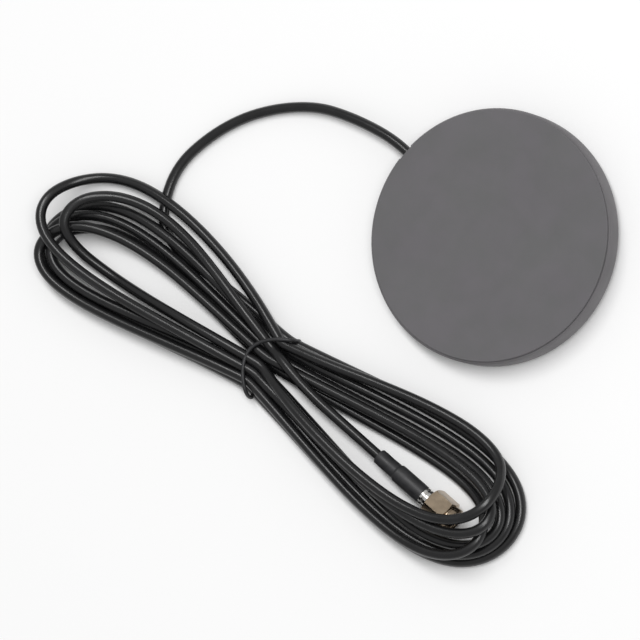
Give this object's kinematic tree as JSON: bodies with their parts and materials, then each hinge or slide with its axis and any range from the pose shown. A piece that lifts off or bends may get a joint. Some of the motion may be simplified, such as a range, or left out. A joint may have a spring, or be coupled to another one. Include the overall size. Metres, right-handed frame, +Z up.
{
  "type": "round loop antenna with coaxial lead",
  "caption": "Flat round loop antenna puck with a matt pad and a thin coaxial lead tied in a hank, ending in a screw-on coaxial plug.",
  "frame": {"origin": "middle of the closed cover face that the puck rests on", "axes": "+Z up out of the pad, -X towards the side where the lead leaves the puck"},
  "size_m": [0.1639, 0.1258, 0.0091],
  "materials": {
    "housing_plastic": "fine matt moulded texture",
    "pad": "matt",
    "steel": "satin",
    "former_plastic": "matt",
    "copper_wire": "enamelled",
    "board": "solder mask",
    "ferrite": "matt",
    "chip_black": "matt",
    "ceramic": "matt",
    "solder": "bright",
    "brass": "bright",
    "jacket": "semi gloss, soft",
    "dielectric": "waxy",
    "tie": "semi gloss",
    "boot": "shrunk sleeve, satin",
    "nickel": "bright nickel",
    "gasket": "matt",
    "nut_metal": "bright champagne nickel"
  },
  "bodies": {
    "puck": {"amplifier_chip": "chip_black", "base_plate": "housing_plastic", "base_screws": "steel", "board_screws": "steel", "cable_tie": "tie", "chip_capacitors": "ceramic", "chip_resistors": "chip_black", "circuit_board": "board", "coil_former": "former_plastic", "crimp_sleeve": "brass", "face_pad": "pad", "housing": "housing_plastic", "lead": "jacket", "lead_braid": "copper_wire", "lead_conductor": "copper_wire", "lead_crimp_ring": "brass", "lead_dielectric": "dielectric", "lead_hank": "jacket", "lead_inner": "jacket", "lead_tail": "jacket", "loop_tails": "copper_wire", "loop_winding": "copper_wire", "nut_retaining_ring": "brass", "plug_body": "nickel", "plug_gasket": "gasket", "plug_insulator": "dielectric", "plug_pin": "brass", "shrink_boot": "boot", "solder_joints": "solder", "transformer_core": "ferrite", "transformer_winding": "copper_wire"},
    "nut": {"coupling_nut": "nut_metal"}
  },
  "joints": [
    {"name": "nut_turn", "type": "hinge", "parent": "puck", "child": "nut", "pos_m": [0.03944, -0.06224, 0.0049], "axis": [0.9986, 0.0523, 0], "continuous": true}
  ]
}
